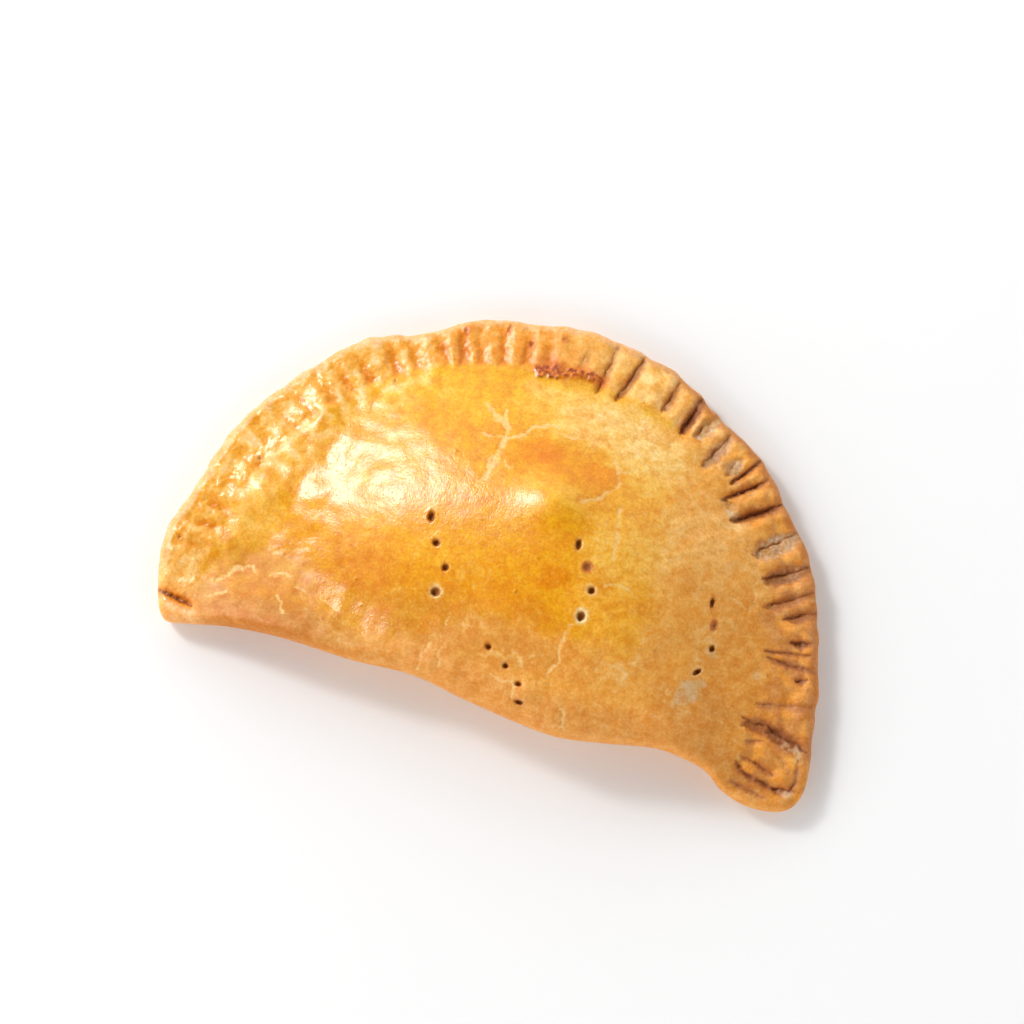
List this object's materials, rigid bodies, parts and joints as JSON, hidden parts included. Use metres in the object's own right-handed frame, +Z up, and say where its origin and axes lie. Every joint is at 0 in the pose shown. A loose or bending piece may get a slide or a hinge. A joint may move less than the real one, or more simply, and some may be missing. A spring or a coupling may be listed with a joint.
{
  "type": "beef hand pie",
  "caption": "Half-moon folded beef pie with a fork-crimped rim, a rolled fold and a domed, pricked, egg-washed lid.",
  "frame": {"origin": "middle of the pie's footprint, on the surface it rests on", "axes": "+X along the fold from the left tip to the right tip, +Y from the fold towards the crimped rim, +Z up through the lid"},
  "size_m": [0.1775, 0.107, 0.0308],
  "materials": {
    "crust": "egg-washed shortcrust pastry, glazed and golden on the lid, matt tan at the rim"
  },
  "bodies": {
    "root": {"pastry": "crust"}
  },
  "joints": []
}
